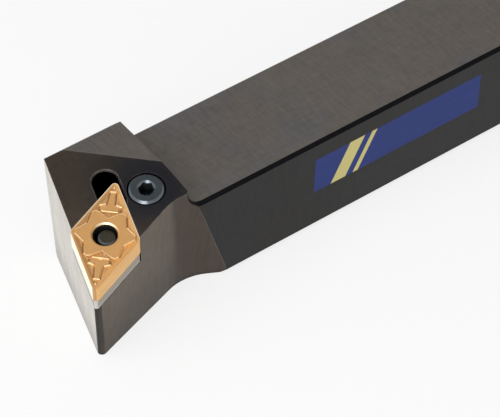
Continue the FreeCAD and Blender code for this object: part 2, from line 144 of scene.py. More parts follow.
class NodeSheet:
    """A node tree whose nodes all come from one method."""

    def __init__(self, tree):
        self.tree = tree

    def feed(self, socket, value):
        if isinstance(value, Reading):
            self.tree.links.new(value.socket, socket)
        else:
            socket.default_value = value

    def node(self, kind, settings=None, inputs=None, output=0):
        """A node of a kind, with its settings made first and then its sockets fed."""
        made = self.tree.nodes.new(kind)
        for setting, value in (settings or {}).items():
            setattr(made, setting, value)
        for socket, value in (inputs or {}).items():
            self.feed(made.inputs[socket], value)
        return Reading(self, made.outputs[output])

    def seen_directly(self):
        """1 for rays from the camera, from gloss and through glass, and 0 for soft light."""
        camera, gloss, glass = (
            self.node("ShaderNodeLightPath", output=name)
            for name in ("Is Camera Ray", "Is Glossy Ray", "Is Transmission Ray"))
        return camera.at_least(gloss).at_least(glass)


class Finish(NodeSheet):
    """A material for one finish, built round its principled shader."""

    def __init__(self, name, constants):
        self.material = bpy.data.materials.new(name)
        self.material.use_nodes = True
        super().__init__(self.material.node_tree)
        self.shader = self.tree.nodes["Principled BSDF"]
        for socket, value in constants.items():
            self.shader.inputs[socket].default_value = value
        self.place = self.node("ShaderNodeTexCoord", output="Object")
        self.facing_way = self.node("ShaderNodeTexCoord", output="Normal")

    def show(self, socket, value):
        """Feeds one of the principled shader's own sockets."""
        self.feed(self.shader.inputs[socket], value)

    def mix(self, first, second, amount):
        return self.node(
            "ShaderNodeMix", {"data_type": "RGBA"},
            {0: amount, 6: shown_colour(first), 7: shown_colour(second)}, output=2)

    def shade(self, tint, amount):
        """The colour made darker or lighter by a factor."""
        if not isinstance(tint, Reading):
            tint = tint[:3]
        return self.node(
            "ShaderNodeVectorMath", {"operation": "SCALE"}, {0: tint, "Scale": amount})

    def measured(self, direction, source=None):
        """How far the surface lies along a direction, in metres, or how much it faces it."""
        return self.node(
            "ShaderNodeVectorMath", {"operation": "DOT_PRODUCT"},
            {0: source or self.place, 1: direction}, output="Value")

    def facing(self, direction, near=0.97, full=0.995):
        """1 where the surface faces a direction, and 0 where it doesn't."""
        return self.measured(direction, self.facing_way).ramp(near, full)

    def distance(self, spot):
        """Distance from a spot, in metres."""
        return self.node(
            "ShaderNodeVectorMath", {"operation": "DISTANCE"}, {0: self.place, 1: spot},
            output="Value")

    def kept_value(self, label):
        """The value that a piece's points keep under a label."""
        return self.node("ShaderNodeAttribute", {"attribute_name": label}, output="Fac")

    def open_air(self, reach):
        """1 on open faces, and 0 deep in a corner or a hole."""
        return self.node(
            "ShaderNodeAmbientOcclusion", {"samples": 8}, {"Distance": reach}, output="AO")

    def marks(self, source, scale, detail, roughness):
        return self.node(
            "ShaderNodeTexNoise", None,
            {"Vector": source, "Scale": scale, "Detail": detail, "Roughness": roughness})

    def noise(self, size, detail, roughness=0.5):
        """Soft random marks of a size in metres."""
        return self.marks(self.place, 1.0 / size, detail, roughness)

    def streaks(self, directions, sizes, detail, roughness):
        """Random marks with a size of their own on each of three directions, in metres."""
        parts = [self.measured(way) / size for way, size in zip(directions, sizes)]
        spread = self.node("ShaderNodeCombineXYZ", inputs=dict(enumerate(parts)))
        return self.marks(spread, 1.0, detail, roughness)

    def bump(self, height, depth, strength, below=None):
        inputs = {"Height": height, "Distance": depth, "Strength": strength}
        if below:
            inputs["Normal"] = below
        return self.node("ShaderNodeBump", None, inputs)


def shown_colour(value):
    """A colour as a colour socket takes it: a reading, or four numbers for a property."""
    if isinstance(value, Reading):
        return value
    return (value[0], value[1], value[2], 1.0)


# Properties

def colour(name, description, default):
    return bpy.props.FloatVectorProperty(
        name=name, description=description, default=default, size=3, subtype="COLOR",
        min=0.0, max=1.0)


def length(name, description, default):
    return bpy.props.FloatProperty(
        name=name, description=description, default=default, unit="LENGTH", precision=5)


def angle(name, description, degrees):
    return bpy.props.FloatProperty(
        name=name, description=description, default=math.radians(degrees), subtype="ANGLE")


def power(name, description, default):
    return bpy.props.FloatProperty(
        name=name, description=description, default=default, unit="POWER")


def share(name, description, default):
    return bpy.props.FloatProperty(
        name=name, description=description, default=default, min=0.0, max=1.0,
        subtype="FACTOR")


class HolderFinish(bpy.types.PropertyGroup):
    """Colours of the holder's machined and oxidised faces, its rubbed and highlit edges and painted
    shade.
    """

    shank: colour("Shank", "Oxidised steel of the shank's top", (0.110, 0.097, 0.084))
    shank_cool: colour("Shank, cool", "Bluer clouds on the shank's top", (0.100, 0.094, 0.093))
    # Painted shade: the sides are painted darker than the top
    side: colour("Shank side", "Darker oxide on the shank's sides", (0.031, 0.030, 0.028))
    side_cool: colour("Side, cool", "Bluer clouds on the shank's sides", (0.032, 0.030, 0.031))
    seat: colour("Seat plane", "Brown-black seat plane", (0.038, 0.030, 0.023))
    seat_warm: colour("Seat, warm", "Browner clouds on the seat plane", (0.058, 0.043, 0.031))
    seat_cold: colour("Seat by the screw", "Blue-black steel near the screw", (0.012, 0.012, 0.015))
    flank: colour("Side flank", "Lighter ground steel of the side flank", (0.140, 0.114, 0.089))
    scallop: colour("Scallop", "Brown steel of the scallop", (0.071, 0.056, 0.044))
    end: colour("End flank", "Bright ground steel of the end flank", (0.60, 0.565, 0.515))
    # Painted shade: the long chamfers are painted near black
    chamfer: colour("Chamfer", "Blue-black long chamfers", (0.0075, 0.0075, 0.0085))
    # Pale colour of the edges, both rubbed steel and painted highlight, and of small specks
    worn_and_highlit: colour("Worn edge", "Bare steel on rubbed edges", (0.22, 0.20, 0.18))
    panel: colour("Colour panel", "Printed field on the near side", (0.030, 0.050, 0.200))
    stripe: colour("Panel stripes", "Printed stripes on the field", (0.68, 0.60, 0.24))
    panel_length: length("Panel length", "Length of the printed field", 0.046)
    panel_height: length("Panel height", "Height of the printed field", 0.0096)
    panel_start: length("Panel start", "X of the field's end by the head", -0.0130)
    panel_middle: length("Panel middle", "Height of the field's middle", 0.0152)
    edge_round: length("Edge rounding", "Radius that the outer edges were rubbed to", 0.00025)
    # Painted shade: how far the darkening reaches out of the corners
    shade_reach: length("Grime reach", "How far oil spreads from the corners", 0.0050)
    grain_depth: length("Grain depth", "Depth of the marks that grinding left", 0.00003)
    roughness: share("Roughness", "How dull the oxidised steel is", 0.42)
    # How strongly the edges' rubbed steel and painted highlights show
    wear_and_highlight: share("Wear", "How strongly the rubbed edges show", 0.55)
    # Painted shade: how black the corners and hollows are painted
    painted_shade: share("Grime", "How black the oil in the corners is", 0.98)


class InsertSizes(bpy.types.PropertyGroup):
    """Sizes and colours of the insert and its shim."""

    circle: length("Inscribed circle", "Diameter of the inscribed circle", 0.0127)
    thickness: length("Thickness", "Height of the insert", 0.00476)
    nose: length("Nose radius", "Radius of the four corners", NOSE_RADIUS)
    hole: length("Hole", "Diameter of the hole", 0.00516)
    countersink: length("Countersink", "Width of the hole's chamfer", 0.00034)
    land: length("Edge land", "Width of the flat behind the cutting edge", 0.00022)
    groove: length("Groove", "Depth of the chip groove", 0.00028)
    boss: length("Boss", "How far the middle stands over the cutting edge", 0.00030)
    coat: colour("Coat", "Gold coating", (0.530, 0.279, 0.092))
    # Painted shade: the coating is painted darker low in the groove
    coat_low: colour("Coat in the groove", "Greyer coating low in the groove", (0.41, 0.230, 0.090))
    # Painted shade: the narrow valleys are painted brown
    valley: colour("Valleys", "Brown coating in the narrow valleys", (0.20, 0.085, 0.022))
    # Painted highlight along the ridges
    ridge_highlight: colour("Ridges", "Coating rubbed pale along the ridges", (0.90, 0.62, 0.32))
    # Painted highlight along the back half of the cutting edge
    edge: colour("Edge", "Pale cutting edge", (0.72, 0.58, 0.40))
    # Painted highlight on the side of the hole's chamfer that faces the nose
    lip: colour("Hole lip", "Coating rubbed pale on the hole's chamfer", (0.95, 0.80, 0.56))
    # Painted shade: the hole's wall is painted near black
    hole_wall: colour("Hole wall", "Dark wall of the hole", (0.012, 0.010, 0.009))
    flank: colour("Coated flank", "Brighter coating on the near flank", (0.92, 0.51, 0.155))
    # Painted reflection: the end flank is painted pale cream
    end_flank: colour("End flank", "Pale ground coating on the end flank", (0.98, 0.97, 0.80))
    carbide: colour("Shim carbide", "Bare carbide of the shim", (0.385, 0.335, 0.270))
    # The shim's chamfers and its painted highlights take this colour
    carbide_edge: colour("Shim edges", "Rubbed edges of the shim", (0.60, 0.60, 0.60))


class ClampFinish(bpy.types.PropertyGroup):
    """Colours of the clamping pieces."""

    screw: colour("Screw", "Blue-grey oxidised steel", (0.036, 0.045, 0.050))
    # Rubbed steel with painted sheen on the chamfers
    screw_edge: colour("Screw chamfers", "Rubbed steel on the screw", (0.105, 0.120, 0.135))
    lever: colour("Lever", "Dark hardened steel", (0.036, 0.033, 0.021))
    # Rubbed steel with painted sheen on the chamfers
    lever_edge: colour("Lever chamfers", "Rubbed steel on the lever", (0.30, 0.33, 0.35))
    sleeve: colour("Sleeve", "Spring steel", (0.16, 0.15, 0.14))
    # Rubbed steel with painted sheen on the chamfers
    sleeve_edge: colour("Sleeve edges", "Rubbed steel on the sleeve", (0.30, 0.29, 0.28))


class StageSizes(bpy.types.PropertyGroup):
    """Camera, floor and lamps."""

    aim: bpy.props.FloatVectorProperty(
        name="Aim", description="Point that the camera looks at", subtype="XYZ", unit="LENGTH",
        default=(-0.035184, -0.014904, 0.023600))
    azimuth: angle("Azimuth", "Turn of the camera about the upright axis", -39.3403)
    elevation: angle("Elevation", "Height of the camera over the horizon", 45.4227)
    roll: angle("Roll", "Turn of the camera about its own axis", 2.6326)
    distance: length("Distance", "Distance from the camera to its aim", 0.58564)
    lens: bpy.props.FloatProperty(
        name="Lens", description="Focal length, in millimetres, on a 36 mm wide sensor",
        default=205.525)
    floor: length("Floor", "Width of the floor", 3.0)
    floor_gap: length("Floor gap", "How far the floor lies under the holder", 0.0001)
    paper: colour("Floor colour", "Pale paper floor", (0.90, 0.90, 0.90))
    glow: share("Floor glow", "How much of the floor's white needs no lamp", 0.75)
    ambient: bpy.props.FloatProperty(
        name="Ambient", description="Strength of the even light from all round", default=0.40)
    key: power("Key lamp", "Power of the large lamp overhead", 6.0)
    side: power("Side lamp", "Power of the low lamp before the nose", 1.6)
    glint: power("Glint lamp", "Power of the low lamp that only gloss shows", 2.4)


# Bench tools

def clear_selection():
    if bpy.context.object and bpy.context.object.mode != "OBJECT":
        bpy.ops.object.mode_set(mode="OBJECT")
    bpy.ops.object.select_all(action="DESELECT")


def pick(piece):
    clear_selection()
    bpy.context.view_layer.objects.active = piece
    piece.select_set(True)


def started(name):
    """Names the piece that an operator has just added."""
    piece = bpy.context.object
    piece.name = name
    piece.data.name = name
    return piece


def select_edges(piece, test):
    """In edit mode, selects the edges that pass a test."""
    bpy.ops.mesh.select_mode(type="EDGE")
    bpy.ops.mesh.select_all(action="DESELECT")
    mesh = bmesh.from_edit_mesh(piece.data)
    for edge in mesh.edges:
        edge.select_set(test(edge))
    mesh.select_flush_mode()
    bmesh.update_edit_mesh(piece.data)


def turned_to(right, up, back, spot):
    """The matrix that turns a piece's own axes to three directions and moves it to a spot."""
    matrix = Matrix((right, up, back)).transposed().to_4x4()
    matrix.translation = spot
    return matrix


def point_places(piece):
    """The places of a piece's points, one row each, in metres."""
    places = np.empty(len(piece.data.vertices) * 3)
    piece.data.vertices.foreach_get("co", places)
    return places.reshape(-1, 3)


def keep_value(piece, label, values):
    """Keeps a value for each point of a piece, for its finish."""
    note = piece.data.attributes.new(label, "FLOAT", "POINT")
    note.data.foreach_set("value", values.astype(np.float32))


def dress(piece, material):
    piece.data.materials.clear()
    piece.data.materials.append(material)


def dress_node(name, material):
    """Gives a CAD node a finish in its own material slots."""
    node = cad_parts[name]
    for spot in node.material_slots:
        spot.material = material
    if not node.material_slots:
        node.data.materials.append(material)


# Insert

# Points round the insert's outline, and rings of points between its hole and its edge
RAYS = 480
RINGS = 66
# Points nearer to a line than this, in millimetres, lie on it
ON_LINE = 0.001
SMOOTH_ANGLE = math.radians(35)

# The chip breaker's forms, in millimetres, in one quarter round the hole
BOSS_QUARTER = (
    (3.95, 0.0), (5.30, 2.05), (5.55, 2.95), (5.00, 3.60), (2.15, 4.10), (0.45, 6.30))
RIB_HALF = ((5.65, 1.75), (7.00, 1.95), (7.35, 0.85), (10.45, 0.55))
VALLEYS = (
    ((2.45, 4.10), (4.85, 3.68)),
    ((7.75, 0.86), (10.30, 0.66)),
    ((5.90, 2.15), (6.80, 2.35)))
NICK = ((3.30, 0.0), (3.75, 0.0))
# Ridges as a line's two ends, its half width and its height over the cutting edge
RIDGES = (
    (((3.95, 0.0), (5.25, 2.00)), 0.15, 0.33),
    (((5.30, 2.05), (5.52, 2.90)), 0.20, 0.36),
    (((5.52, 2.90), (5.02, 3.52)), 0.17, 0.34),
    (((2.15, 4.20), (0.55, 6.05)), 0.20, 0.36),
    (((5.62, 0.0), (5.62, 1.60)), 0.28, 0.30),
    (((7.05, 2.20), (7.38, 1.20)), 0.36, 0.28),
    (((10.60, 0.0), (10.60, 0.55)), 0.32, 0.20),
    (((11.70, 0.0), (11.72, 0.0)), 0.30, 0.16),
    (((4.50, 0.0), (4.52, 0.0)), 0.20, 0.22))
# Widths of the slopes, and half widths and depths of what is cut in
LAND_SLOPE = 0.95
BOSS_SLOPE = 0.36
RIB_SLOPE = 0.30
VALLEY_HALF_WIDTH = 0.26
VALLEY_DEPTH = 0.12
NICK_HALF_WIDTH = 0.16
NICK_DEPTH = 0.05
# How far each painted highlight along the RIDGES reaches, as a share of its half width
HIGHLIGHT_SHARE = 1.15


def insert_reach(sizes):
    """Distance from the insert's sharp corner to its middle."""
    return sizes.circle / math.sin(2 * HALF_ANGLE) * math.cos(HALF_ANGLE)


def mouth_radius(sizes):
    return sizes.hole / 2 + sizes.countersink


def rhombus_ring(circle, nose, rays):
    """Points along the rounded rhombus, evenly spaced in each quarter, from the back corner."""
    side = circle / math.sin(2 * HALF_ANGLE)
    reach = side * math.cos(HALF_ANGLE)
    width = side * math.sin(HALF_ANGLE)
    slant = Vector((-reach, width)).normalized()
    normal = Vector((slant.y, -slant.x))
    flat_angle = math.atan2(normal.y, normal.x)
    back = Vector((reach - nose / math.sin(HALF_ANGLE), 0))
    tip = Vector((0, width - nose / math.cos(HALF_ANGLE)))
    start = back + normal * nose
    end = tip + normal * nose
    back_arc = flat_angle * nose
    flat = (end - start).length
    tip_arc = (math.pi / 2 - flat_angle) * nose
    quarter = []
    steps = rays // 4
    for step in range(steps):
        gone = (back_arc + flat + tip_arc) * step / steps
        if gone < back_arc:
            turn = gone / nose
            point = back + Vector((math.cos(turn), math.sin(turn))) * nose
        elif gone < back_arc + flat:
            point = start + slant * (gone - back_arc)
        else:
            turn = flat_angle + (gone - back_arc - flat) / nose
            point = tip + Vector((math.cos(turn), math.sin(turn))) * nose
        quarter.append(point)
    top = Vector((0, tip.y + nose))
    half = quarter + [top] + [Vector((-p.x, p.y)) for p in quarter[:0:-1]]
    return half + [-p for p in half]


def bar_distance(ends, x, y):
    """Distance to the straight line between two points."""
    (ax, ay), (bx, by) = ends
    dx, dy = bx - ax, by - ay
    t = np.clip(((x - ax) * dx + (y - ay) * dy) / max(dx * dx + dy * dy, 1e-9), 0, 1)
    return np.hypot(x - ax - t * dx, y - ay - t * dy)


def outline_distance(corners, x, y):
    """Distance to the nearest edge of a closed outline."""
    nearest = np.full(x.shape, np.inf)
    for edge in zip(corners, np.roll(corners, -1, axis=0)):
        nearest = np.minimum(nearest, bar_distance(edge, x, y))
    return nearest


def polygon_distance(points, x, y):
    """Distance to a closed polygon, negative inside it."""
    corners = np.array(points, float)
    inside = np.zeros(x.shape, bool)
    for (ax, ay), (bx, by) in zip(corners, np.roll(corners, -1, axis=0)):
        crosses = (ay > y) != (by > y)
        span = np.where(crosses, by - ay, 1.0)
        inside ^= crosses & (x < ax + (y - ay) * (bx - ax) / span)
    distance = outline_distance(corners, x, y)
    return np.where(inside, -distance, distance)


def smooth(t):
    t = np.clip(t, 0, 1)
    return t * t * (3 - 2 * t)


def lifted(height, level, distance, slope):
    """The height brought to a level inside an outline, over a slope across its line."""
    return height + (level - height) * smooth(0.5 - distance / slope)


def breaker_height(x, y, outline, sizes):
    """Height over the cutting edge in millimetres, and how near ridges and valleys lie."""
    rim = outline_distance(outline, x, y)
    land, groove, boss = (size / MM for size in (sizes.land, sizes.groove, sizes.boss))
    height = -groove * smooth((rim - land) / LAND_SLOPE)
    ax, ay = np.abs(x), np.abs(y)

    upper = list(BOSS_QUARTER) + [(-px, py) for px, py in BOSS_QUARTER[::-1]]
    star = upper + [(px, -py) for px, py in upper[-2:0:-1]]
    height = lifted(height, boss, polygon_distance(star, x, y), BOSS_SLOPE)
    rib = list(RIB_HALF) + [(px, -py) for px, py in RIB_HALF[::-1]]
    height = lifted(height, 0.0, polygon_distance(rib, ax, y), RIB_SLOPE)

    dark = np.zeros(x.shape)
    for valley in VALLEYS:
        near = smooth(1 - bar_distance(valley, ax, ay) / VALLEY_HALF_WIDTH)
        height = height - VALLEY_DEPTH * near
        dark = np.maximum(dark, near)
    nick = smooth(1 - bar_distance(NICK, ax, ay) / NICK_HALF_WIDTH)
    height = height - NICK_DEPTH * nick
    shine = np.zeros(x.shape)
    for ends, half_width, level in RIDGES:
        distance = bar_distance(ends, ax, ay)
        crown = np.sqrt(np.clip(1 - (distance / half_width) ** 2, 0, 1))
        height = np.maximum(height, height * (1 - crown) + level * crown)
        shine = np.maximum(shine, smooth(1 - distance / (half_width * HIGHLIGHT_SHARE)))
    return height, rim, shine, dark


class TOOLHOLDER_OT_insert(bpy.types.Operator):
    """Models the rhombic insert with its chip breaker and hole"""
    bl_idname = "toolholder.insert"
    bl_label = "Insert"

    def execute(self, context):
        sizes = context.scene.holder_insert
        ring = rhombus_ring(sizes.circle, sizes.nose, RAYS)
        outline = np.array(ring) / MM
        top = self.face_sheet(sizes, ring, outline)
        pick(top)
        bpy.ops.object.duplicate()
        bottom = started("insert_bottom")
        self.turn_over(bottom, sizes)
        clear_selection()
        bottom.select_set(True)
        top.select_set(True)
        context.view_layer.objects.active = top
        bpy.ops.object.join()
        bpy.ops.object.mode_set(mode="EDIT")
        self.join_walls(top, sizes)
        bpy.ops.mesh.select_all(action="SELECT")
        bpy.ops.mesh.normals_make_consistent(inside=False)
        bpy.ops.object.mode_set(mode="OBJECT")
        x, y, _ = point_places(top).T / MM
        keep_value(top, "rim_distance", outline_distance(outline, x, y))
        bpy.ops.object.shade_smooth_by_angle(angle=SMOOTH_ANGLE)
        self.put_on_seat(top, sizes)
        dress(top, coated_carbide(sizes))
        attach(top, "holder")
        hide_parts("insert")
        return {"FINISHED"}

    def face_sheet(self, sizes, ring, outline):
        """The upper face as a sheet: a ring of the hole grown out to the rhombus."""
        clear_selection()
        mouth = mouth_radius(sizes)
        bpy.ops.mesh.primitive_circle_add(vertices=RAYS, radius=mouth, fill_type="NOTHING")
        sheet = started("insert")
        bpy.ops.object.mode_set(mode="EDIT")
        bpy.ops.mesh.select_all(action="SELECT")
        bpy.ops.mesh.extrude_region_move()
        mesh = bmesh.from_edit_mesh(sheet.data)
        for point in mesh.verts:
            if point.select:
                turn = math.atan2(point.co.y, point.co.x) % (2 * math.pi)
                index = round(turn / (2 * math.pi) * RAYS) % RAYS
                point.co.xy = ring[index]
        bmesh.update_edit_mesh(sheet.data)

        def runs_outwards(edge):
            reaches = [point.co.length for point in edge.verts]
            return min(reaches) < mouth + ON_LINE * MM < max(reaches)

        select_edges(sheet, runs_outwards)
        bpy.ops.mesh.subdivide_edgering(number_cuts=RINGS, interpolation="LINEAR")
        bpy.ops.object.mode_set(mode="OBJECT")
        count = len(sheet.data.vertices)
        if count != RAYS * (RINGS + 2):
            raise RuntimeError("the insert's face has %d points" % count)
        self.press_breaker(sheet, sizes, outline)
        return sheet

    def press_breaker(self, sheet, sizes, outline):
        """Gives the sheet the chip breaker's heights, and keeps its ridges and valleys."""
        places = point_places(sheet)
        x, y = places[:, 0] / MM, places[:, 1] / MM
        height, rim, shine, dark = breaker_height(x, y, outline, sizes)
        height[np.hypot(x, y) < mouth_radius(sizes) / MM + ON_LINE] = sizes.boss / MM
        height[rim < ON_LINE] = 0
        keep_value(sheet, "valley_dark", dark)
        keep_value(sheet, "ridge_shine", shine)
        places[:, 2] = height * MM
        sheet.data.vertices.foreach_set("co", places.ravel())
        sheet.data.update()

    def turn_over(self, bottom, sizes):
        """Turns a copy of the upper face about the long diagonal, with its boss cut level."""
        for point in bottom.data.vertices:
            depth = min(point.co.z, 0)
            point.co = (point.co.x, -point.co.y, -sizes.thickness - depth)

    def join_walls(self, piece, sizes):
        """Closes the flank and the hole between the two faces."""
        mouth = mouth_radius(sizes) + ON_LINE * MM

        def on_edge(edge):
            return len(edge.link_faces) == 1

        def by_hole(edge):
            return on_edge(edge) and edge.verts[0].co.xy.length < mouth

        def is_high(edge):
            return edge.verts[0].co.z > -sizes.thickness / 2

        select_edges(piece, lambda edge: on_edge(edge) and not by_hole(edge))
        bpy.ops.mesh.bridge_edge_loops()
        for high in (True, False):
            select_edges(piece, lambda edge: by_hole(edge) and is_high(edge) == high)
            bpy.ops.mesh.extrude_edges_move()
            mesh = bmesh.from_edit_mesh(piece.data)
            for point in mesh.verts:
                if point.select:
                    point.co.xy = point.co.xy.normalized() * (sizes.hole / 2)
                    point.co.z += -sizes.countersink if high else sizes.countersink
            bmesh.update_edit_mesh(piece.data)
        select_edges(piece, on_edge)
        bpy.ops.mesh.bridge_edge_loops()

    def put_on_seat(self, piece, sizes):
        """Moves the insert from its own axes to its seat, with its place in its mesh."""
        centre = SEAT_CORNER + ALONG * insert_reach(sizes)
        piece.matrix_world = turned_to(ALONG, ACROSS, SQUARE, centre)
        pick(piece)
        bpy.ops.object.transform_apply(location=True, rotation=True, scale=True)


# Finishes

# Where parts of the holder begin, in metres from its middle towards its nose: a mask
# starts at the first number and is full at the second
SCALLOP_FROM = (0.0345, 0.0350)
HEAD_FROM = (0.0463, 0.0466)
HOLLOWS_FROM = (0.0500, 0.0508)
NOSE_FROM = (0.0705, 0.0712)
# Heights in metres: the shank's middle, how far its long chamfers lie from that, and a
# level just under the head's top
SHANK_MIDDLE = 0.0125
LONG_EDGE_FROM = (0.0112, 0.0114)
UNDER_HEAD_TOP = 0.0308
# How far the head's hollows reach from the middle of the holder's width to its far side
HOLLOWS_FAR_SIDE = 0.0150
SCREW_TOP = Vector((-0.0515, -0.0030, 0.0285))
COS_45 = math.sqrt(0.5)

# Each printed stripe's start along the panel and its width, in metres
STRIPES = ((0.0070, 0.0040), (0.0130, 0.0014))
STRIPE_LEAN = 0.5
PRINT_BLUR = 0.00006


class HolderFaces:
    """Masks of the holder's faces, from where they lie and which way they face."""

    def __init__(self, steel):
        self.x = steel.measured(REAR_FACE)
        self.height = steel.measured(TOP_FACE)
        to_nose = self.x * -1
        past_end = steel.measured(END_FACE) - END_FACE.dot(SEAT_CORNER)
        past_flank = steel.measured(FLANK_FACE) - FLANK_FACE.dot(SEAT_CORNER)
        over_seat = steel.measured(SQUARE) - SQUARE.dot(SEAT_CORNER)
        sideways = steel.measured(NEAR_FACE, steel.facing_way)
        upright = steel.measured(TOP_FACE, steel.facing_way)
        in_head = to_nose.ramp(*HEAD_FROM)
        top = steel.facing(TOP_FACE, 0.988, 0.998)

        self.near = steel.facing(NEAR_FACE)
        self.end = steel.facing(END_FACE, 0.95, 0.985) * past_end.ramp(-0.0016, -0.0012)
        self.flank = steel.facing(FLANK_FACE, 0.955, 0.998) * past_flank.ramp(-0.0030, -0.0025)
        rim = in_head * over_seat.ramp(-0.0016, -0.0012) * (1 - top) * (1 - sideways.ramp(0.7, 0.8))
        seat = steel.facing(SQUARE, 0.985, 0.998) * (1 - top)
        self.seat = seat.at_least(rim)
        self.level = abs(upright).ramp(0.3, 0.6) * (1 - rim)
        long_edge = abs(self.height - SHANK_MIDDLE).ramp(*LONG_EDGE_FROM)
        self.long_edge = long_edge * (1 - in_head)
        slanted = 1 - abs(abs(sideways) - COS_45).ramp(0.02, 0.06)
        self.chamfer = slanted * self.long_edge
        milled = sideways.ramp(0.5, 0.8) * (1 - sideways.ramp(0.9965, 0.9990))
        others = (1 - self.flank) * (1 - self.end) * (1 - self.chamfer)
        self.scallop = milled * to_nose.ramp(*SCALLOP_FROM) * others
        self.nose = to_nose.ramp(*NOSE_FROM) * (1 - self.flank) * (1 - self.end)

        # The slot, the bore and the holes lie under the seat plane, within the head's walls
        under_seat = (over_seat * -1).ramp(0.0002, 0.0005)
        under_top = (UNDER_HEAD_TOP - self.height).ramp(0, 0.0002)
        behind_end = (past_end * -1).ramp(0.0020, 0.0026)
        behind_flank = (past_flank * -1).ramp(0.0034, 0.0040)
        behind_far_side = (HOLLOWS_FAR_SIDE - steel.measured(FAR_FACE)).ramp(0, 0.0005)
        walled = behind_end * behind_flank * behind_far_side * to_nose.ramp(*HOLLOWS_FROM)
        self.hollows = under_seat * under_top * walled


def face_colours(steel, sizes, face, cloud, from_screw):
    """The colour of each of the holder's faces, with painted shade on its sides, chamfers and
    flank, before its marks, its rubbed and highlit edges and the painted shade in its corners.
    """
    tint = steel.noise(0.016, 3.0, 0.55).ramp(0.38, 0.62)
    side = steel.mix(sizes.side, sizes.side_cool, tint)
    shank = steel.mix(sizes.shank, sizes.shank_cool, tint)
    seat = steel.mix(sizes.seat, sizes.seat_warm, cloud.ramp(0.40, 0.60))
    seat = steel.mix(sizes.seat_cold, seat, from_screw.ramp(0.004, 0.017))
    # Painted shade: the side flank is painted darker towards its foot
    flank = steel.shade(sizes.flank, 0.58 + 0.42 * face.height.ramp(0.0, 0.020))
    end_level = TOP_FACE.cross(END_FACE).normalized()
    bands = steel.streaks((end_level, TOP_FACE, END_FACE), (0.0024, 0.05, 0.05), 2.0, 0.5)
    end_light = (0.86 + 0.26 * bands) * (0.62 + 0.38 * face.height.ramp(-0.002, 0.012))
    end = steel.shade(sizes.end, end_light)
    # Painted shade: the sides are painted darker than the top and bottom
    body = steel.mix(side, shank, face.level)
    body = steel.mix(body, sizes.scallop, face.scallop)
    body = steel.mix(body, seat, face.seat)
    body = steel.mix(body, flank, face.flank)
    body = steel.mix(body, end, face.end)
    # Painted shade: the long chamfers are painted near black
    return steel.mix(body, sizes.chamfer, face.chamfer)


def holder_steel(sizes):
    """Oxidised steel, lighter where it was ground, with painted shade in its corners and hollows,
    and edges both rubbed and painted with highlights.
    """
    steel = Finish("holder_steel", {"IOR": 1.5, "Specular IOR Level": 0.1})
    face = HolderFaces(steel)
    from_screw = steel.distance(SCREW_TOP)
    mottle = steel.noise(0.011, 4.0, 0.6)
    cloud = steel.noise(0.035, 2.0, 0.5)
    grain = steel.streaks(HOLDER_WAYS, (0.006, 0.0004, 0.0004), 4.0, 0.6).ramp(0.34, 0.66)
    cross = steel.streaks(HOLDER_WAYS, (0.0005, 0.005, 0.006), 3.0, 0.6).ramp(0.34, 0.66)
    broken = steel.noise(0.0022, 4.0, 0.7).ramp(0.35, 0.60)
    specks = steel.noise(0.0007, 3.0, 0.7).ramp(0.66, 0.74)

    body = face_colours(steel, sizes, face, cloud, from_screw)
    ground = face.flank.at_least(face.scallop)
    tone = 0.65 + 0.22 * mottle + 0.16 * cloud + 0.10 * grain + (0.12 + 0.05 * ground) * cross
    # Painted shade on the nose's rounding, which is painted a quarter darker
    body = steel.shade(body, (tone + 0.08 * broken) * (1 - 0.25 * face.nose))
    body = steel.mix(body, sizes.worn_and_highlit, specks * 0.06)

    # Painted shade: the colour is painted dark where occlusion finds corners and creases, and in
    # the slot, bore and holes, which also lose their gloss
    painted_shade = 1 - steel.open_air(sizes.shade_reach).ramp(0.14, 0.62)
    painted_shade = painted_shade.at_least(face.hollows * face.height.ramp(0.0002, 0.0008))
    # The edges are painted pale: partly rubbed steel, partly painted highlight
    rounded = steel.node("ShaderNodeBevel", {"samples": 6}, {"Radius": sizes.edge_round})
    true_way = steel.node("ShaderNodeNewGeometry", output="Normal")
    worn_and_highlit = (1 - steel.measured(rounded, true_way)).ramp(0.002, 0.014) * (0.35 + 0.65 * broken)
    spared = (1 - painted_shade) * (1 - face.end) * (1 - face.long_edge) * (1 - face.hollows)
    worn_and_highlit = worn_and_highlit * spared * from_screw.ramp(0.0050, 0.0062)
    body = steel.mix(body, sizes.worn_and_highlit, worn_and_highlit * sizes.wear_and_highlight)
    # The painted shade darkens the colour of corners and hollows
    body = steel.shade(body, 1 - sizes.painted_shade * painted_shade)

    panel, stripes = printed_panel(steel, sizes, face)
    body = steel.mix(body, sizes.panel, panel)
    body = steel.mix(body, sizes.stripe, stripes)

    steel.show("Base Color", body)
    bare = (0.35 + 0.2 * face.end) * (1 - panel)
    steel.show("Metallic", (bare * (1 - painted_shade) + painted_shade).at_least(face.chamfer))
    rough = sizes.roughness + 0.16 * (mottle - 0.5) + 0.10 * (grain - 0.5)
    steel.show("Roughness", rough - 0.08 * face.end + 0.05 * panel)
    relief = grain * 0.6 + cross * 0.25 + mottle * 0.2
    steel.show("Normal", steel.bump(relief, sizes.grain_depth, 0.3, rounded))
    return steel.material


def printed_panel(steel, sizes, face):
    """A plain field with two slanted stripes near one end, printed on the near side."""
    up = face.height - sizes.panel_middle
    run = face.x - sizes.panel_start
    inside = (sizes.panel_height / 2 - abs(up)).ramp(-PRINT_BLUR, PRINT_BLUR)
    inside = inside * run.ramp(-PRINT_BLUR, PRINT_BLUR)
    inside = inside * (sizes.panel_length - run).ramp(-PRINT_BLUR, PRINT_BLUR) * face.near
    lean = run - up * STRIPE_LEAN
    stripes = 0.0
    for start, width in STRIPES:
        band = lean.ramp(start - PRINT_BLUR, start + PRINT_BLUR)
        band = band * (start + width - lean).ramp(-PRINT_BLUR, PRINT_BLUR)
        stripes = band + stripes
    fade = steel.noise(0.0009, 4.0, 0.7).ramp(0.20, 0.34)
    panel = inside * fade
    return panel, stripes * panel


